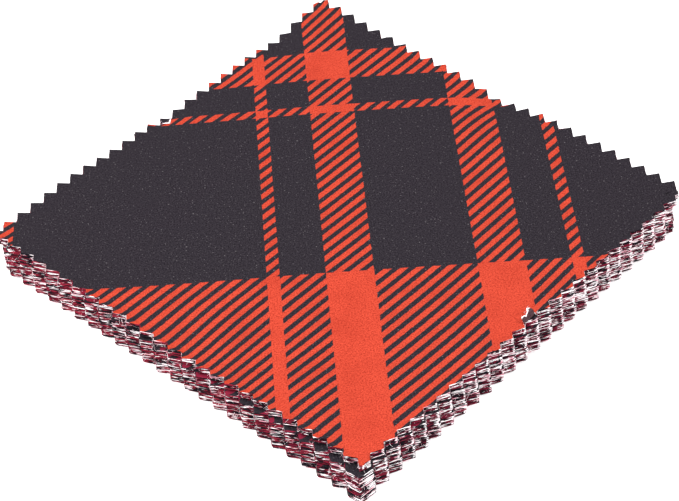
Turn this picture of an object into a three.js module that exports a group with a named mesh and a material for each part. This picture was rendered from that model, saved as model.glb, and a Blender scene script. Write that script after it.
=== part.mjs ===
import * as THREE from 'three';

// A stack of pinked fabric squares. Sizes are in millimetres, x and y run along the cut edges
// and z is up. The corner at -x -y is the near one.
const squareSide = 127;
const teethPerSide = 27;
const toothDepth = 2.3;
const stackHeight = 10.5;
const sheetGap = 0.3;

// A sheet's face is an even grid of cells, with a strip around it that reaches the toothed edge.
const gridCells = 9;
const stripWidth = 8;

// The squares of the six lower sheets were cut a little askew, further in x for each y and in y
// for each x, and their left and right corners are clipped.
const askewCut = { leanX: 0.016, leanY: 0.005, clipped: true };
const squareCut = { leanX: 0, leanY: 0, clipped: false };

// Each sheet is six squares that lie tight together. From the bottom up: how far it slid as the
// squares were piled up, how it was cut, and the colour that its edge shows.
const sheets = [
  { name: 'squares_01_to_06', slideX: -0.2, slideY: -0.7, cut: askewCut, colour: '#7b4a50' },
  { name: 'squares_07_to_12', slideX: -0.4, slideY: -0.5, cut: askewCut, colour: '#c9979c' },
  { name: 'squares_13_to_18', slideX: -0.3, slideY: -0.7, cut: askewCut, colour: '#5a3a3f' },
  { name: 'squares_19_to_24', slideX: -0.4, slideY: -0.4, cut: askewCut, colour: '#cfa3a6' },
  { name: 'squares_25_to_30', slideX: -0.2, slideY: -0.5, cut: askewCut, colour: '#8c4348' },
  { name: 'squares_31_to_36', slideX: -0.4, slideY: -0.4, cut: askewCut, colour: '#b98285' },
  { name: 'squares_37_to_42', slideX: 0, slideY: 0, cut: squareCut, colour: '#e8503f' },
];
const clothRoughness = 0.9;

// The pile is pressed down a little here and there along its sides. Every sheet takes its share.
const dips = [
  { place: 'back left side', x: 16, y: 63, change: -1.1, reach: 15 },
  { place: 'back left side, near the far corner', x: 44, y: 65, change: -1.4, reach: 5.5 },
  { place: 'back right side', x: 63, y: -3, change: -1.6, reach: 7 },
  { place: 'front left side', x: -63, y: -4, change: -1.2, reach: 17 },
  { place: 'right corner', x: 63, y: -60, change: -0.4, reach: 16 },
];

// Its corners curl up, the upper sheets far more than the lower ones.
const swells = [
  { place: 'far corner', x: 63, y: 63, change: 2.2, reach: 12 },
  { place: 'left corner', x: -50, y: 60, change: 0.8, reach: 17 },
  { place: 'middle', x: -5, y: -5, change: 0.3, reach: 30 },
];
const curlPower = 3;

const halfSide = squareSide / 2;
const pitch = squareSide / teethPerSide;
const sidesOfSquare = 4;

// The summed change in height at one point, each entry fading out over its reach.
function heightChange(entries, x, y) {
  return entries.reduce((sum, { x: centreX, y: centreY, change, reach }) => {
    const distance = Math.hypot(x - centreX, y - centreY) / reach;
    return sum + change * Math.exp(-0.5 * distance ** 2);
  }, 0);
}

// The height in the pile at a share of its sheets, from 0 at the floor to 1 above the top sheet,
// where one more gap is counted in.
function levelAt(share, x, y) {
  const evenPart = stackHeight + sheetGap + heightChange(dips, x, y);
  return share * evenPart + share ** curlPower * heightChange(swells, x, y);
}

// The toothed edge of a square, anticlockwise from its near corner. A corner is cut across from
// the last tip of one side to the first tip of the next. Where the left and right corners are
// clipped, the first side lacks its last tooth and the last side its first.
function pinkedOutline(clipped) {
  const points = [];
  const middle = new THREE.Vector2(0, 0);
  for (let side = 0; side < sidesOfSquare; side += 1) {
    const turn = side * Math.PI / 2;
    const firstTooth = clipped && side === sidesOfSquare - 1 ? 1 : 0;
    const lastTooth = clipped && side === 0 ? teethPerSide - 2 : teethPerSide - 1;
    for (let tooth = firstTooth; tooth <= lastTooth; tooth += 1) {
      const tip = new THREE.Vector2(-halfSide + pitch * (tooth + 0.5), -halfSide);
      points.push(tip.rotateAround(middle, turn));
      if (tooth < lastTooth) {
        const notch = new THREE.Vector2(-halfSide + pitch * (tooth + 1), -halfSide + toothDepth);
        points.push(notch.rotateAround(middle, turn));
      }
    }
  }
  return points;
}

// The numbers of a plane's edge vertices, anticlockwise from its -x -y corner. A plane's
// vertices run in rows from +y down to -y.
function planeBorder(cells) {
  const number = (column, row) => (cells - row) * (cells + 1) + column;
  const steps = [...Array(cells).keys()];
  return [
    ...steps.map((step) => number(step, 0)),
    ...steps.map((step) => number(cells, step)),
    ...steps.map((step) => number(cells - step, cells)),
    ...steps.map((step) => number(0, cells - step)),
  ];
}

// Triangles that join two closed rings of point numbers, both anticlockwise. Each step goes
// forward on the ring that gives the shorter diagonal.
function stitchRings(points, outer, inner) {
  const triangles = [];
  const at = (ring, step) => ring[step % ring.length];
  const span = (a, b) => points[a].distanceTo(points[b]);
  let onOuter = 0;
  let onInner = 0;
  while (onOuter < outer.length || onInner < inner.length) {
    const [o, oNext] = [at(outer, onOuter), at(outer, onOuter + 1)];
    const [i, iNext] = [at(inner, onInner), at(inner, onInner + 1)];
    const outerIsLeft = onOuter < outer.length;
    const innerIsDone = onInner === inner.length;
    if (outerIsLeft && (innerIsDone || span(oNext, i) < span(o, iNext))) {
      triangles.push([i, o, oNext]);
      onOuter += 1;
    } else {
      triangles.push([i, o, iNext]);
      onInner += 1;
    }
  }
  return triangles;
}

// A sheet's flat pattern: its points, its triangles and its edge.
function sheetPattern(clipped) {
  const gridSide = squareSide - 2 * (toothDepth + stripWidth);
  const plane = new THREE.PlaneGeometry(gridSide, gridSide, gridCells, gridCells);
  const spots = plane.getAttribute('position');
  const points = [];
  for (let spot = 0; spot < spots.count; spot += 1) {
    points.push(new THREE.Vector2(spots.getX(spot), spots.getY(spot)));
  }
  const edge = [];
  for (const point of pinkedOutline(clipped)) {
    edge.push(points.length);
    points.push(point);
  }
  const cells = plane.getIndex().array;
  const triangles = stitchRings(points, edge, planeBorder(gridCells));
  for (let corner = 0; corner < cells.length; corner += 3) {
    triangles.push([cells[corner], cells[corner + 1], cells[corner + 2]]);
  }
  return { points, triangles, edge };
}

// Where a point of the flat pattern lies once its sheet is in the pile.
function placeInPile(point, { slideX, slideY, cut }) {
  const x = point.x + cut.leanX * point.y + slideX;
  const y = point.y + cut.leanY * point.x + slideY;
  return { x, y };
}

// One sheet as a closed solid: its underside, its printed face and the cut edge between them.
function sheetMesh(sheet, order) {
  const { points, triangles, edge } = sheetPattern(sheet.cut.clipped);
  const mesh = new THREE.Mesh(
    new THREE.BufferGeometry(),
    new THREE.MeshStandardMaterial({ color: sheet.colour, roughness: clothRoughness, metalness: 0 }),
  );
  mesh.name = sheet.name;

  const below = order / sheets.length;
  const above = (order + 1) / sheets.length;
  const underside = [];
  const face = [];
  for (const point of points) {
    const { x, y } = placeInPile(point, sheet);
    underside.push(x, y, levelAt(below, x, y));
    face.push(x, y, levelAt(above, x, y) - sheetGap);
  }

  const faceStart = points.length;
  const index = [];
  for (const [a, b, c] of triangles) {
    index.push(a, c, b);
    index.push(faceStart + a, faceStart + b, faceStart + c);
  }
  edge.forEach((a, step) => {
    const b = edge[(step + 1) % edge.length];
    index.push(a, b, faceStart + b);
    index.push(a, faceStart + b, faceStart + a);
  });
  mesh.geometry.setAttribute('position', new THREE.Float32BufferAttribute([...underside, ...face], 3));
  mesh.geometry.setIndex(index);
  mesh.geometry.computeVertexNormals();
  return mesh;
}

const stack = new THREE.Group();
stack.name = 'stack_of_fabric_squares';
sheets.forEach((sheet, order) => stack.add(sheetMesh(sheet, order)));

// The origin is on the floor, under the middle of the whole pile.
const middleOfPile = new THREE.Box3().setFromObject(stack).getCenter(new THREE.Vector3());
stack.position.set(-middleOfPile.x, -middleOfPile.y, 0);

export default stack;
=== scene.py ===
import math
import random

import bmesh
import bpy
from mathutils import Matrix, Quaternion, Vector, noise


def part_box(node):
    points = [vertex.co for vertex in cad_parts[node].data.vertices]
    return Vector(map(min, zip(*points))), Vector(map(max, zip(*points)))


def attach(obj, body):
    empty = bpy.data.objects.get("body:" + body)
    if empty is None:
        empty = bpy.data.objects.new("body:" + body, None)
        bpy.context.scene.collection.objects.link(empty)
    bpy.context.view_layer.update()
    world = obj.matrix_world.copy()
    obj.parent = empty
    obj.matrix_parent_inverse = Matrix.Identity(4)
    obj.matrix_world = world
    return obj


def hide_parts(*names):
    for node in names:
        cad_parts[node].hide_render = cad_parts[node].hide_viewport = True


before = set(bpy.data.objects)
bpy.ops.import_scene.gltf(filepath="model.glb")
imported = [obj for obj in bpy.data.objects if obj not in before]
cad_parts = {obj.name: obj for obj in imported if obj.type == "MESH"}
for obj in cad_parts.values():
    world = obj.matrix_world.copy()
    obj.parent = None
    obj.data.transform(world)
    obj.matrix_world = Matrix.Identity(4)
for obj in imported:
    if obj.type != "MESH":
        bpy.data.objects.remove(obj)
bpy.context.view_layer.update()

# A pile of 42 printed cotton squares with pinked edges. Sizes are in metres, from
# millimetres. x and y run along the cut edges and z is up. The near corner is at -x -y.
mm = 0.001
square_side = 127 * mm
half_side = square_side / 2
teeth_per_side = 27
tooth_pitch = square_side / teeth_per_side
tooth_depth = 2.15 * mm
squares_in_pile = 42
squares_per_solid = 6
pile_height = 10.5 * mm
cloth_share = 0.8  # how much of its place in the pile a square's own thickness fills
cloth_thickness = cloth_share * pile_height / squares_in_pile

# The middle of the top square, which has not slid.
top_low, top_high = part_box("squares_37_to_42")
middle = (top_low + top_high) / 2

# Where the pile is pressed down along its sides, and where two corners curl up and the middle
# rises: x and y from the middle, change in height and reach, in millimetres.
dips = [
    (16, 63, -1.1, 15),
    (-52, 66, -1.2, 8),
    (-19, 66, -0.7, 6),
    (1, 66, -1.5, 4.5),
    (45, 66, -2.3, 6),
    (59, 67, -1.9, 4),
    (63, -3, -1.5, 7),
    (65, 0, -1.2, 3.2),
    (63, -60, -0.6, 16),
    (-63, -4, -1.2, 17),
]
swells = [
    (63, 63, 2.2, 12),
    (-50, 60, 0.8, 17),
    (-5, -5, 0.3, 30),
]
curl_power = 3  # the upper squares curl far more than the lower ones
# How far the tips of the teeth bend up on the two front and the two back sides.
front_tooth_curl = 0.95 * mm
back_tooth_curl = 0.6 * mm
lower_curl_share = 0.9  # of the top square's
# Between these distances from a side, squares start to lie tight here and loose there. They
# move by up to about so many squares, each on its own and all together, over so long a reach
# and so many layers.
uneven_from, uneven_to = 12 * mm, 5 * mm
own_unevenness, own_reach, own_layers = 0.6, 9 * mm, 2.9
shared_unevenness, shared_reach, shared_layers = 1.5, 5 * mm, 11

# The squares were cut in three lots, whose teeth line up within a lot. From the floor up:
# the last square in it, how far it slid in x and y, how far it leans in x for each y and in y
# for each x, and how far the teeth of each side are shifted along it, in millimetres, with a
# share of their distance from that side's middle. Some corners are clipped, from a point on
# one side to a point on the next. First tips: how many pitches from the near corner a side's
# teeth start, where that corner is whole.
near_corner_inset = 0.6 * mm
lots = [
    {
        "last": 17, "slide": (-0.95, -0.62), "lean": (0.0157, 0.005),
        "clips": [((-63.5, 57.3), (-59.6, 63.5)), ((57.9, -63.5), (63.5, -58.7))],
        "first tips": {"front left": 1.5, "front right": 0.5},
        "front left": (-1.4, 0.031), "front right": (2.8, 0.0),
        "back left": (0.4, 0.0), "back right": (0.9, 0.0),
    },
    {
        "last": 34, "slide": (-0.80, -0.45), "lean": (0.0157, 0.005),
        "clips": [((-63.5, 57.3), (-59.6, 63.5)), ((57.5, -63.5), (63.5, -57.6))],
        "first tips": {"front left": 1.5, "front right": 0.5},
        "front left": (-1.1, 0.031), "front right": (2.3, 0.0),
        "back left": (-0.9, 0.0), "back right": (0.3, 0.0),
    },
    {
        "last": 42, "slide": (0.0, 0.0), "lean": (0.0, 0.0),
        "clips": [((58.4, -63.5), (63.5, -59.0))],
        "first tips": {},
        "front left": (-1.28, 0.002), "front right": (0.59, 0.002),
        "back left": (-0.86, 0.0), "back right": (-1.15, 0.012),
    },
]
slide_jitter = 0.16 * mm
turn_jitter = 0.05  # degrees
pinked_depth = 6 * mm  # how far in from the edge the cloth's grid is drawn along with the teeth
# How far the cut edge stands out unevenly: the top square, the others, and the yarns in the
# middle of the cloth's thickness.
top_raggedness = 0.12 * mm
lower_raggedness = 0.42 * mm
cut_yarn_bulge = 0.05 * mm
cut_yarn_raggedness = 0.12 * mm
ragged_reach = 2.6 * mm
cut_yarn_reach = 0.9 * mm
seed_step = 7.3  # from square to square, in the noise that frays their edges
fine_rows = 3  # rows of the grid along the edge that stay fine where the middle is coarse
fine_squares = 5  # from the top down, with a finer grid, so that none pokes through the top one
# Two teeth of the top square, on sides that run along x, are folded up: the side, the tooth's
# middle along it, how far inside the line of the tips the fold starts, how far it is pulled
# out, and from there outwards the lengths of cloth, with how many degrees each one bends. All
# lengths are in millimetres.
folded_teeth = [
    {
        "side": "front right", "middle": -0.9, "inside": 5.0, "pulled": 3.2,
        "bends": [(0.75, 95), (2.2, 0), (0.6, 85)],
    },
    {
        "side": "back left", "middle": -0.9, "inside": 2.5, "pulled": 0.0,
        "bends": [(1.2, 150)],
    },
]
fold_half_width = 2.3 * mm
# In shares of that width: where the fold starts to fade out, where it ends, and how far to its
# sides the cloth's grid is made finer.
fold_fades, fold_ends, fold_fine = 0.85, 1.1, 1.6
fold_margin = 1 * mm  # how far inside the fold the grid is made finer
pull_depth = 0.7 * mm  # over how much cloth past the fold's start the pull comes in

# The print: a tartan laid on the bias. Distances are from the middle of its narrow black
# stripe, in millimetres, and the pattern is mirrored about that and about the broad red one.
half_repeat = 137.5
red_stripes = {
    "wide": (12.8, 24.65),
    "thin": (36.05, 39.25),
    "broad": (102.6, half_repeat),
}
top_print = (19.7, 79.8)  # where that black stripe's middle lies on the top square
# The cloth is a little askew: how far the print leans across for each millimetre up, and how
# much that lean grows for each millimetre across.
print_lean = 0.0142
print_fan = 0.00024
hatch_pitch = 2.86
hatch_red_width = 1.5
hatch_turn = 0.42  # degrees
print_softness = 0.16
# The hatching wavers: x and y from the middle, shift in y and reach, in millimetres.
hatch_pulls = [
    (-62, -2, -1.0, 9),
    (-57, -42, 0.8, 11),
    (-20, -52, -0.35, 14),
    (32, -58, 0.9, 12),
    (-20, -10, 0.3, 15),
    (18, -66, 1.25, 20),
    (-30, -64, 0.5, 18),
    (-30, -30, 0.45, 22),
    (-60, -32, 0.4, 12),
    (-52, 8, 0.8, 14),
    (40, -25, 0.4, 16),
    (50, -4, 0.35, 7),
    (63, 24, -1.0, 12),
    (58, 60, -1.2, 11),
    (6, 57, 1.2, 10),
]
hatch_bow = 0.00032  # shift in y for each square millimetre of x squared

# Ink and fibre, as linear colours.
orange_red = (0.425, 0.048, 0.025, 1)
worn_red = (0.20, 0.014, 0.007, 1)
# crimson also stands for the red of the lower squares' faces, where it is painted shade.
crimson = (0.15, 0.010, 0.026, 1)
bright_crimson = (0.25, 0.014, 0.032, 1)
charcoal = (0.0045, 0.0032, 0.0052, 1)
faded_charcoal = (0.026, 0.0215, 0.027, 1)
ink_fleck = (0.12, 0.11, 0.115, 1)
black_fibre = (0.006, 0.004, 0.007, 1)
pink_fibre = (0.66, 0.31, 0.38, 1)
pale_fibre = (0.92, 0.86, 0.88, 1)
# The back's colours where the print shows through, painted dark as shade.
shaded_ghost_black = (0.022, 0.017, 0.020, 1)
shaded_ghost_red = (0.035, 0.012, 0.016, 1)
cloth_back = (0.42, 0.33, 0.34, 1)

cloth_roughness = 0.95
yarn_pitch = 0.36  # of the weave, in millimetres
weave_relief = 0.1 * mm
yarn_count = 2600
yarn_radius = 0.035 * mm
yarn_lengths = (0.35 * mm, 1.5 * mm)
yarn_steps = 3
yarn_spread = 0.9  # how far a loose yarn's way strays from straight out
yarn_bend = 0.6
least_run = 0.2 * mm  # a run of the cut edge that can let a yarn loose is longer

floor_drop = 0.2 * mm  # the floor lies just under the lowest square, so that they don't meet


def bumps(entries, x, y):
    """The summed change at a point, each entry fading out over its reach."""
    total = 0.0
    for centre_x, centre_y, change, reach in entries:
        away = math.hypot(x - centre_x * mm, y - centre_y * mm) / (reach * mm)
        total += change * mm * math.exp(-0.5 * away**2)
    return total


def level_at(share, x, y):
    """The height in the pile at a share of its squares, at a place from the middle."""
    even = share * (pile_height + bumps(dips, x, y))
    return even + share**curl_power * bumps(swells, x, y)


def share_at(order, x, y):
    """A square's share of the way up. Towards the sides, squares lie tight here, loose there."""
    part = order / squares_in_pile
    if part in (0, 1):
        return part
    edge = smooth(half_side - uneven_from, half_side - uneven_to, max(abs(x), abs(y)))
    own = noise.noise(Vector((x / own_reach, y / own_reach, order / own_layers)))
    shared = noise.noise(Vector((x / shared_reach, y / shared_reach, order / shared_layers)))
    in_middle = math.sin(math.pi * part)
    uneven = own_unevenness * own + shared_unevenness * shared * in_middle
    return part + edge * uneven / squares_in_pile


def lot_of(number):
    """The lot that a square was cut in."""
    return next(lot for lot in lots if number <= lot["last"])


def node_of(number):
    """The name of the solid that stands for a square."""
    first = (number - 1) // squares_per_solid * squares_per_solid + 1
    return f"squares_{first:02d}_to_{first + squares_per_solid - 1:02d}"


def smooth(low, high, value):
    """0 below low, 1 above high and a smooth rise between."""
    part = min(max((value - low) / (high - low), 0.0), 1.0)
    return part * part * (3 - 2 * part)


def edge_place(lot, side, along):
    """How far a side's point lies inside the line of the tips, and how far along it is moved."""
    shift, stretch = lot[side]
    # Where the near corner is whole, the edge runs straight from it to the first tip.
    first_tip = lot["first tips"].get(side, 0) * tooth_pitch
    from_start = along + half_side
    if first_tip and from_start < first_tip:
        part = from_start / first_tip
        moved = shift * mm + stretch * (first_tip - half_side)
        return near_corner_inset * (1 - part), moved * part
    # Past the last tip, the corner is cut across.
    end = half_side - tooth_pitch / 2
    from_corner = half_side - abs(along)
    reached = min(max(along, -end), end)
    past_last_tip = min(1.0, from_corner / (tooth_pitch / 2))
    moved = (shift * mm + stretch * reached) * (0.5 + 0.5 * past_last_tip)
    if past_last_tip < 1:
        return tooth_pitch / 4 * (1 - past_last_tip), moved
    return tooth_depth * abs(1 - 2 * (from_start / tooth_pitch % 1)), moved


def pinked_place(x, y, lot):
    """Where a point of a plain square goes when its edge is pinked."""
    new_x, new_y = x, y
    # A point on the diagonal belongs to both sides.
    if abs(x) >= abs(y) - 1e-7:
        fade = max(0.0, 1 - (half_side - abs(x)) / pinked_depth)
        inset, moved = edge_place(lot, "front left" if x < 0 else "back right", y)
        new_x -= math.copysign(inset * fade, x)
        new_y += moved * fade
    if abs(y) >= abs(x) - 1e-7:
        fade = max(0.0, 1 - (half_side - abs(y)) / pinked_depth)
        inset, moved = edge_place(lot, "front right" if y < 0 else "back left", x)
        new_y -= math.copysign(inset * fade, y)
        new_x += moved * fade
    return new_x, new_y


def thin_out(bm, cell):
    """Keeps every third grid line inside the fine rows along the edge, and drops the others."""
    last_line = half_side - fine_rows * cell

    def dropped(value):
        steps = round((value + last_line) / cell)
        return abs(value) < last_line - cell / 2 and steps % 3 != 0

    lines = []
    for edge in bm.edges:
        a, b = (v.co for v in edge.verts)
        if max(abs(a.x), abs(b.x), abs(a.y), abs(b.y)) > last_line + cell / 2:
            continue
        runs_in_x = abs(a.x - b.x) > abs(a.y - b.y)
        if dropped(a.y if runs_in_x else a.x):
            lines.append(edge)
    bmesh.ops.dissolve_edges(bm, edges=lines, use_verts=True)


def clip_corners(bm, clips):
    """Cuts the flat square's corners off along the clips."""
    for start, end in clips:
        start, end = (Vector((x * mm, y * mm, 0)) for x, y in (start, end))
        outward = (end - start).cross(Vector((0, 0, 1)))
        if outward.dot(start) < 0:
            outward.negate()
        parts = bm.verts[:] + bm.edges[:] + bm.faces[:]
        bmesh.ops.bisect_plane(bm, geom=parts, plane_co=start, plane_no=outward, clear_outer=True)


def flat_square(cells_per_tooth, lot, coarse):
    """A pinked square lying flat, as a closed solid one unit thick in z."""
    bm = bmesh.new()
    cells = teeth_per_side * cells_per_tooth
    bmesh.ops.create_grid(bm, x_segments=cells, y_segments=cells, size=half_side)
    if coarse:
        thin_out(bm, square_side / cells)
    for v in bm.verts:
        v.co.x, v.co.y = pinked_place(v.co.x, v.co.y, lot)
    clip_corners(bm, lot["clips"])
    raised = bmesh.ops.extrude_face_region(bm, geom=bm.faces[:])["geom"]
    for v in raised:
        if isinstance(v, bmesh.types.BMVert):
            v.co.z = 1.0
    upright = [e for e in bm.edges if abs(e.verts[0].co.z - e.verts[1].co.z) > 0.5]
    bmesh.ops.subdivide_edges(bm, edges=upright, cuts=2)
    return bm


def fray_edge(bm, seed, ragged):
    """Lets the cut edge stand out unevenly, and its middle rows most, as cut yarns do."""
    rim = {v for f in bm.faces if abs(f.normal.z) < 0.5 for v in f.verts}
    for v in rim:
        outward = Vector((v.co.x, v.co.y, 0)).normalized()
        here = Vector((v.co.x / ragged_reach, v.co.y / ragged_reach, seed))
        v.co += outward * ragged * noise.noise(here)
        if 0.01 < v.co.z < 0.99:
            here = Vector((v.co.x / cut_yarn_reach, v.co.y / cut_yarn_reach, seed + 2 * v.co.z))
            v.co += outward * (cut_yarn_bulge + cut_yarn_raggedness * noise.noise(here))


def print_place(x, y, offset):
    """A point's place on the printed cloth, along the tartan's own axes, in millimetres."""
    across = (x - y) / math.sqrt(2) / mm
    up = (x + y) / math.sqrt(2) / mm
    lean = print_lean + print_fan * across
    return across + lean * up + offset[0], up + offset[1]


def mark_cloth(bm, number, offset, wavers):
    """Gives the flat square its place on the print, its marks and its material numbers."""
    print_map = bm.loops.layers.uv.new("print")
    layer = bm.verts.layers.float.new("layer")
    rim = bm.verts.layers.float.new("rim")
    tip = bm.verts.layers.float.new("tip")
    waver = bm.verts.layers.float.new("hatch_waver")
    for v in bm.verts:
        v[layer] = number + v.co.z
        # 1 at the tips of the front right side's teeth and 0 at their notches.
        v[tip] = 1 - (half_side + v.co.y) / tooth_depth
        v[waver] = hatch_bow * (v.co.x / mm) ** 2 + bumps(wavers, v.co.x, v.co.y) / mm
    bm.normal_update()
    for face in bm.faces:
        face.smooth = True
        levels = [v.co.z for v in face.verts]
        if min(levels) > 0.99:
            face.material_index = 0
        elif max(levels) < 0.01:
            face.material_index = 1
        else:
            face.material_index = 2
            for v in face.verts:
                v[rim] = 1
        for loop in face.loops:
            loop[print_map].uv = print_place(loop.vert.co.x, loop.vert.co.y, offset)


def tooth_bend(x, y, is_top):
    """How far the teeth bend up at a place on the flat square. The top square's bend most."""
    outside = max(abs(x), abs(y)) - (half_side - tooth_depth)
    curl = front_tooth_curl if min(x, y) < -max(x, y) else back_tooth_curl
    share = 1 if is_top else lower_curl_share
    return share * curl * max(outside, 0.0) / tooth_depth


def lay_in_pile(bm, number, slide, lean, turn):
    """Takes the flat square to its place in the pile, between the ones below and above."""
    is_top = number == squares_in_pile
    spin = Matrix.Rotation(math.radians(turn), 4, "Z")
    for v in bm.verts:
        leant = Vector((v.co.x + lean[0] * v.co.y, v.co.y + lean[1] * v.co.x, 0))
        placed = spin @ leant + slide
        low = level_at(share_at(number - 1, placed.x, placed.y), placed.x, placed.y)
        high = level_at(share_at(number, placed.x, placed.y), placed.x, placed.y)
        filled = 1 - cloth_share * (1 - v.co.z)
        up = low + (high - low) * filled + tooth_bend(v.co.x, v.co.y, is_top)
        v.co = Vector((placed.x + middle.x, placed.y + middle.y, up))


def along_bends(bends, length):
    """How far out and how high a length of bent cloth reaches, and the angle it ends at."""
    reach = rise = heading = 0.0
    for stretch, degrees in bends:
        part = min(length, stretch * mm)
        turned = math.radians(degrees) * part / (stretch * mm)
        middle_heading = heading + turned / 2
        chord = part if turned == 0 else part * math.sin(turned / 2) / (turned / 2)
        reach += chord * math.cos(middle_heading)
        rise += chord * math.sin(middle_heading)
        heading += turned
        length -= part
    return reach + length * math.cos(heading), rise + length * math.sin(heading), heading


def fold_up(bm, fold):
    """Folds a tooth of the laid top square up and back."""
    out = -1 if fold["side"] == "front right" else 1
    hinge = half_side - fold["inside"] * mm

    def beyond(v):
        return out * (v.co.y - middle.y) - hinge

    def aside(v):
        return abs(v.co.x - middle.x - fold["middle"] * mm)

    def is_near(v):
        return beyond(v) > -fold_margin and aside(v) < fold_fine * fold_half_width

    near = [e for e in bm.edges if any(is_near(v) for v in e.verts)]
    # Shorter edges stand across the cloth's thickness.
    flat = [e for e in near if e.calc_length() > 0.5 * mm]
    bmesh.ops.subdivide_edges(bm, edges=flat, cuts=2, use_grid_fill=True)
    for v in bm.verts:
        if beyond(v) <= 0 or aside(v) > fold_ends * fold_half_width:
            continue
        bottom = level_at(1, v.co.x - middle.x, v.co.y - middle.y) - cloth_thickness
        lift = v.co.z - bottom
        reach, rise, heading = along_bends(fold["bends"], beyond(v))
        reach += fold["pulled"] * mm * smooth(0, pull_depth, beyond(v))
        out_by = hinge + reach - lift * math.sin(heading)
        goal = Vector((v.co.x, middle.y + out * out_by, bottom + rise + lift * math.cos(heading)))
        faded = smooth(fold_fades * fold_half_width, fold_ends * fold_half_width, aside(v))
        v.co = v.co.lerp(goal, 1 - faded)


def new_piece(name, bm, materials):
    """Makes an object at the origin from a finished bmesh."""
    mesh = bpy.data.meshes.new(name)
    bm.to_mesh(mesh)
    bm.free()
    for material in materials:
        mesh.materials.append(material)
    piece = bpy.data.objects.new(name, mesh)
    bpy.context.scene.collection.objects.link(piece)
    return piece


class Recipe:
    """A material's node tree, built one node at a time."""

    def __init__(self, name):
        self.material = bpy.data.materials.new(name)
        self.material.use_nodes = True
        self.tree = self.material.node_tree
        self.tree.nodes.clear()

    def add(self, kind, *inputs, **settings):
        """Adds a node. Each input is a value or another node's socket; None leaves it."""
        node = self.tree.nodes.new("ShaderNode" + kind)
        for key, value in settings.items():
            setattr(node, key, value)
        for socket, value in zip(node.inputs, inputs):
            if isinstance(value, bpy.types.NodeSocket):
                self.tree.links.new(value, socket)
            elif value is not None:
                socket.default_value = value
        return node

    def math(self, operation, *inputs):
        """The result of a math node."""
        return self.add("Math", *inputs, operation=operation).outputs[0]

    def noise(self, place, scale, detail=2.0, roughness=0.5):
        """A noise value from 0 to 1 at a place."""
        node = self.add("TexNoise")
        self.tree.links.new(place, node.inputs["Vector"])
        node.inputs["Scale"].default_value = scale
        node.inputs["Detail"].default_value = detail
        node.inputs["Roughness"].default_value = roughness
        return node.outputs[0]

    def blend(self, share, first, second):
        """A mix of two colours."""
        node = self.add("Mix", data_type="RGBA")
        # The node has sockets for every kind of value: these are its share and its two colours.
        for number, value in ((0, share), (6, first), (7, second)):
            socket = node.inputs[number]
            if isinstance(value, bpy.types.NodeSocket):
                self.tree.links.new(value, socket)
            else:
                socket.default_value = value
        return node.outputs[2]

    def rise(self, value, low, high, start=0.0, end=1.0):
        """A smooth step from start to end while value goes from low to high."""
        node = self.add("MapRange", value, low, high, start, end, interpolation_type="SMOOTHSTEP")
        return node.outputs[0]

    def finish(self, colour, roughness, height, strength, distance):
        """The cloth's shader and the material's output."""
        bump = self.add("Bump")
        bump.inputs["Strength"].default_value = strength
        bump.inputs["Distance"].default_value = distance
        self.tree.links.new(height, bump.inputs["Height"])
        shader = self.add("BsdfPrincipled")
        self.tree.links.new(colour, shader.inputs["Base Color"])
        self.tree.links.new(bump.outputs[0], shader.inputs["Normal"])
        shader.inputs["Roughness"].default_value = roughness
        shader.inputs["Specular IOR Level"].default_value = 0.05
        output = self.add("OutputMaterial")
        self.tree.links.new(shader.outputs[0], output.inputs["Surface"])
        return self.material


def print_axes(recipe):
    """The two distances along the tartan's axes, in millimetres, and their vector."""
    place = recipe.add("UVMap", uv_map="print").outputs[0]
    parts = recipe.add("SeparateXYZ", place)
    return place, parts.outputs[0], parts.outputs[1]


def striped(recipe, along):
    """1 where a stripe is red and 0 where it is black, along one of the tartan's axes."""
    distance = recipe.math("PINGPONG", along, half_repeat)
    soft = print_softness / 2
    total = None
    for start, end in red_stripes.values():
        red = recipe.rise(distance, start - soft, start + soft)
        if end < half_repeat:
            past_end = recipe.rise(distance, end - soft, end + soft)
            red = recipe.math("SUBTRACT", red, past_end)
        total = red if total is None else recipe.math("ADD", total, red)
    return total


def red_share(recipe, place, across, up):
    """1 where the print is red and 0 where it is black. Red crossed by black is hatched."""
    wander = recipe.noise(place, 0.9, 2.0)
    wander = recipe.math("MULTIPLY_ADD", wander, 0.36, -0.18)
    stripe_across = striped(recipe, recipe.math("ADD", across, wander))
    stripe_up = striped(recipe, recipe.math("ADD", up, wander))
    both = recipe.math("MULTIPLY", stripe_across, stripe_up)
    either = recipe.math("MAXIMUM", stripe_across, stripe_up)
    angle = math.radians(45 + hatch_turn)
    over = recipe.math("MULTIPLY", up, math.cos(angle))
    over = recipe.math("MULTIPLY_ADD", across, -math.sin(angle), over)
    waver = recipe.add("Attribute", attribute_name="hatch_waver").outputs["Fac"]
    over = recipe.math("SUBTRACT", over, waver)
    over = recipe.math("ADD", over, wander)
    line = recipe.math("PINGPONG", over, hatch_pitch / 2)
    soft = print_softness / 2
    edge = hatch_red_width / 2
    hatch = recipe.rise(line, edge - soft, edge + soft, 1.0, 0.0)
    hatched = recipe.math("MULTIPLY", either, hatch)
    return recipe.math("MAXIMUM", both, hatched)


def along_yarns(recipe, place):
    """A place turned so that its axes run along the yarns."""
    turned = recipe.add("VectorRotate", place, rotation_type="Z_AXIS")
    turned.inputs["Angle"].default_value = math.radians(45)
    return turned.outputs[0]


def uneven_yarns(recipe, place):
    """How thick the yarns are here, both ways added together, around 1."""
    total = None
    for stretch in ((0.35, 2.2, 1), (2.2, 0.35, 1)):
        long_way = recipe.add("Mapping", place)
        long_way.inputs["Scale"].default_value = stretch
        yarn = recipe.noise(long_way.outputs[0], 1.0, 3.0)
        total = yarn if total is None else recipe.math("ADD", total, yarn)
    return total


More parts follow.
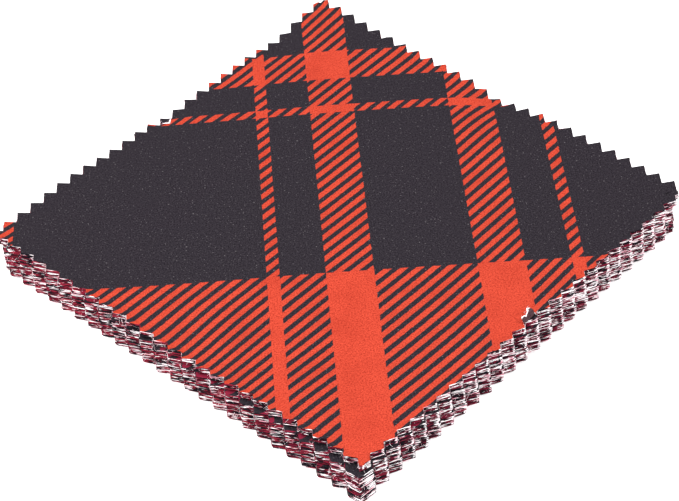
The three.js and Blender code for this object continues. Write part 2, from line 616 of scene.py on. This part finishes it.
def weave_height(recipe, place, slubs):
    """A plain weave of uneven yarns, as a height."""
    parts = recipe.add("SeparateXYZ", place)
    turns = math.pi / yarn_pitch
    warp = recipe.math("SINE", recipe.math("MULTIPLY", parts.outputs[0], turns))
    weft = recipe.math("SINE", recipe.math("MULTIPLY", parts.outputs[1], turns))
    crossing = recipe.math("ABSOLUTE", recipe.math("MULTIPLY", warp, weft))
    return recipe.math("MULTIPLY_ADD", crossing, 0.5, slubs)


def printed_face(name, red_ink, worn_and_shaded_ink):
    """The printed side: red and charcoal ink on fine cotton."""
    recipe = Recipe(name)
    place, across, up = print_axes(recipe)
    red = red_share(recipe, place, across, up)
    woven = along_yarns(recipe, place)
    height = weave_height(recipe, woven, uneven_yarns(recipe, woven))
    grain = recipe.noise(place, 2.6, 3.0, 0.8)
    mottle = recipe.noise(place, 0.12, 4.0, 0.6)
    fleck = recipe.rise(recipe.noise(place, 2.1, 1.0), 0.66, 0.78, 0.0, 0.8)
    black = recipe.blend(recipe.rise(grain, 0.32, 0.68), charcoal, faded_charcoal)
    black = recipe.blend(fleck, black, ink_fleck)
    bright = recipe.blend(recipe.rise(grain, 0.34, 0.60), worn_and_shaded_ink, red_ink)
    bright = recipe.blend(recipe.rise(mottle, 0.35, 0.75, 0.0, 0.3), bright, worn_and_shaded_ink)
    colour = recipe.blend(red, black, bright)
    return recipe.finish(colour, cloth_roughness, height, 0.5, weave_relief)


def plain_back():
    """The unprinted side, where the print shows through faintly, in colours painted darker as
    shade.
    """
    recipe = Recipe("cotton back")
    place, across, up = print_axes(recipe)
    red = red_share(recipe, place, across, up)
    woven = along_yarns(recipe, place)
    slubs = uneven_yarns(recipe, woven)
    height = weave_height(recipe, woven, slubs)
    # The print showing through, painted near black: painted shade for the folded tooth's
    # underside.
    shaded_ghost = recipe.blend(red, shaded_ghost_black, shaded_ghost_red)
    colour = recipe.blend(recipe.rise(slubs, 0.7, 1.3, 0.0, 0.09), shaded_ghost, cloth_back)
    rim = recipe.add("Attribute", attribute_name="rim").outputs["Fac"]
    frayed = recipe.math("MULTIPLY_ADD", slubs, 0.3, rim)
    colour = recipe.blend(recipe.rise(frayed, 0.75, 0.95), colour, pale_fibre)
    return recipe.finish(colour, cloth_roughness, height, 0.4, weave_relief)


def cut_edge():
    """The pinked edge: cut yarns, inked where the print was and pale inside."""
    recipe = Recipe("cut cotton edge")
    here = recipe.add("SeparateXYZ", recipe.add("TexCoord").outputs["Object"])
    layer = recipe.add("Attribute", attribute_name="layer").outputs["Fac"]
    flat_x = recipe.math("MULTIPLY", here.outputs[0], 1 / mm)
    flat_y = recipe.math("MULTIPLY", here.outputs[1], 1 / mm)
    place = recipe.add("CombineXYZ", flat_x, flat_y, layer).outputs[0]

    def streaks(length, layers, shift):
        """Noise in streaks of a length in millimetres and a number of layers."""
        moved = recipe.add("Mapping", place)
        moved.inputs["Location"].default_value = (shift, shift, shift)
        moved.inputs["Scale"].default_value = (1 / length, 1 / length, 1 / layers)
        return recipe.noise(moved.outputs[0], 1.0, 2.0, 0.55)

    fine = recipe.math("MULTIPLY_ADD", streaks(1.8, 1.1, 3.1), 0.4, -0.2)
    tip = recipe.add("Attribute", attribute_name="tip").outputs["Fac"]
    at_tip = recipe.rise(tip, 0.80, 0.95, 0.0, 0.2)
    # The right-hand sides are paler, and the left-hand ones redder.
    to_right = recipe.rise(recipe.math("SUBTRACT", flat_x, flat_y), -30.0, 30.0)
    paler = recipe.math("MULTIPLY_ADD", to_right, 0.03, -0.02)
    pale = recipe.math("ADD", recipe.math("ADD", streaks(4.2, 2.2, 0.0), fine), at_tip)
    pale = recipe.rise(recipe.math("ADD", pale, paler), 0.535, 0.575)
    pink = recipe.rise(streaks(2.4, 2.2, 17.0), 0.38, 0.48)
    redder = recipe.math("MULTIPLY_ADD", to_right, -0.015, -0.012)
    red = recipe.math("ADD", recipe.math("ADD", streaks(4.0, 2.8, 41.0), fine), redder)
    ink = recipe.blend(to_right, bright_crimson, crimson)
    inked = recipe.blend(recipe.rise(red, 0.48, 0.53), black_fibre, ink)
    colour = recipe.blend(pale, inked, recipe.blend(pink, pink_fibre, pale_fibre))
    return recipe.finish(colour, cloth_roughness, fine, 0.5, weave_relief)


def loose_yarn():
    """Pale cotton fibres that work loose from the cut edges."""
    recipe = Recipe("loose cotton yarn")
    here = recipe.add("TexCoord").outputs["Object"]
    shade = recipe.noise(here, 900.0, 2.0)
    colour = recipe.blend(recipe.rise(shade, 0.35, 0.6), pink_fibre, pale_fibre)
    return recipe.finish(colour, cloth_roughness, shade, 0.2, weave_relief / 2)


def cut_runs(bm):
    """Short runs along the middle of the cut edge, each as its two ends and the way out."""
    bm.normal_update()
    runs = []
    for edge in bm.edges:
        in_middle = all(f.material_index == 2 for v in edge.verts for f in v.link_faces)
        if in_middle and edge.calc_length() > least_run:
            start, end = sorted(tuple(v.co) for v in edge.verts)
            outward = edge.verts[0].normal + edge.verts[1].normal
            runs.append((start, end, tuple(outward.normalized())))
    return runs


def make_loose_yarns(runs, chance):
    """Short ends of yarn along the cut edges, as one piece."""
    curve = bpy.data.curves.new("loose_yarns", "CURVE")
    curve.dimensions = "3D"
    curve.bevel_depth = yarn_radius
    curve.bevel_resolution = 0
    curve.use_fill_caps = True
    for start, end, outward in chance.sample(sorted(runs), yarn_count):
        root = Vector(start).lerp(Vector(end), chance.random())
        length = chance.uniform(*yarn_lengths) * chance.uniform(0.4, 1)
        stray = Vector([chance.uniform(-yarn_spread, yarn_spread) for _ in range(3)])
        way = Vector(outward) + stray
        bend = Vector([chance.uniform(-yarn_bend, yarn_bend) for _ in range(3)])
        spline = curve.splines.new("POLY")
        spline.points.add(yarn_steps)
        for step, point in enumerate(spline.points):
            part = step / yarn_steps
            spot = root + (way.normalized() * part + bend * part**2) * length
            spot.z = max(spot.z, 2 * yarn_radius)
            point.co = (*spot, 1)
            point.radius = 1 - 0.5 * part
    curved = bpy.data.objects.new("loose_yarns_curve", curve)
    bpy.context.scene.collection.objects.link(curved)
    shape = curved.evaluated_get(bpy.context.evaluated_depsgraph_get())
    bm = bmesh.new()
    bm.from_mesh(bpy.data.meshes.new_from_object(shape))
    bpy.data.objects.remove(curved)
    piece = new_piece("loose_yarns", bm, [loose_yarn()])
    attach(piece, "root")


def make_square(number, cloth, chance, runs):
    """One pinked square in its place in the pile."""
    lot = lot_of(number)
    is_top = number == squares_in_pile
    slide = Vector((lot["slide"][0] * mm, lot["slide"][1] * mm, 0))
    turn = 0.0
    offset = (-top_print[0], -top_print[1])
    wavers = hatch_pulls
    if not is_top:
        slide.x += chance.uniform(-slide_jitter, slide_jitter)
        slide.y += chance.uniform(-slide_jitter, slide_jitter)
        turn = chance.uniform(-turn_jitter, turn_jitter)
        offset = (chance.uniform(0, 2 * half_repeat), chance.uniform(0, 2 * half_repeat))
        wavers = []
    cells_per_tooth = 4 if number > squares_in_pile - fine_squares else 2
    bm = flat_square(cells_per_tooth, lot, not is_top)
    mark_cloth(bm, number, offset, wavers)
    fray_edge(bm, number * seed_step, top_raggedness if is_top else lower_raggedness)
    lay_in_pile(bm, number, slide, lot["lean"], turn)
    if is_top:
        for fold in folded_teeth:
            fold_up(bm, fold)
    runs.extend(cut_runs(bm))
    piece = new_piece(f"square_{number:02d}", bm, cloth)
    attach(piece, "root")
    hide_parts(node_of(number))


def make_pile():
    """All the squares, from the floor up."""
    back, edge = plain_back(), cut_edge()
    top_cloth = [printed_face("printed cotton face", orange_red, worn_red), back, edge]
    # The lower squares' faces take the same print with darker reds, as painted shade on the
    # ledges between the squares.
    lower_cloth = [printed_face("shaded cotton face", crimson, crimson), back, edge]
    chance = random.Random(42)
    runs = []
    for number in range(1, squares_in_pile + 1):
        cloth = top_cloth if number == squares_in_pile else lower_cloth
        make_square(number, cloth, chance, runs)
    make_loose_yarns(runs, chance)


def make_floor():
    """A plain pale floor."""
    recipe = Recipe("pale floor")
    here = recipe.add("TexCoord").outputs["Object"]
    tone = recipe.noise(here, 3.0, 2.0)
    colour = recipe.blend(tone, (0.90, 0.90, 0.90, 1), (0.92, 0.92, 0.92, 1))
    material = recipe.finish(colour, 0.9, tone, 0.0, 0.001)
    bm = bmesh.new()
    bmesh.ops.create_grid(bm, x_segments=1, y_segments=1, size=3.0)
    bmesh.ops.translate(bm, verts=bm.verts[:], vec=(0, 0, -floor_drop))
    floor = new_piece("floor", bm, [material])


def make_camera():
    """The camera, seen from the pile's near corner."""
    heading = math.radians(43.56)
    downward = math.radians(41.86)
    roll = math.radians(-2.79)
    distance = 638.3 * mm
    aim = middle + Vector((-5.0 * mm, -4.1 * mm, 0))
    aim.z = 3.2 * mm
    forward = Vector((
        math.cos(heading) * math.cos(downward),
        math.sin(heading) * math.cos(downward),
        -math.sin(downward),
    ))
    data = bpy.data.cameras.new("camera")
    data.lens = 133.1
    data.sensor_width = 36
    data.clip_start = 0.01
    camera = bpy.data.objects.new("camera", data)
    bpy.context.scene.collection.objects.link(camera)
    camera.rotation_mode = "QUATERNION"
    camera.rotation_quaternion = forward.to_track_quat("-Z", "Y") @ Quaternion((0, 0, 1), roll)
    camera.location = aim - forward * distance
    bpy.context.scene.camera = camera


def soft_light(name, place, target, size, power):
    """A square soft box that faces a point."""
    data = bpy.data.lights.new(name, "AREA")
    data.shape = "SQUARE"
    data.size = size
    data.energy = power
    light = bpy.data.objects.new(name, data)
    bpy.context.scene.collection.objects.link(light)
    light.location = place
    light.rotation_euler = (Vector(target) - Vector(place)).to_track_quat("-Z", "Y").to_euler()


def make_light():
    """Soft studio light from all round, with a large soft box above."""
    scene = bpy.context.scene
    scene.view_settings.view_transform = "Standard"
    scene.world = bpy.data.worlds.new("studio")
    scene.world.use_nodes = True
    background = scene.world.node_tree.nodes["Background"]
    background.inputs["Color"].default_value = (1.0, 1.0, 1.0, 1)
    background.inputs["Strength"].default_value = 1.45
    soft_light("soft box above", (-0.3, 0.2, 0.9), (0, 0, 0), 0.8, 11)
    soft_light("soft box in front", (-0.7, -0.8, 0.5), (0, 0, 0), 0.6, 7)


make_camera()
make_light()
make_floor()
make_pile()
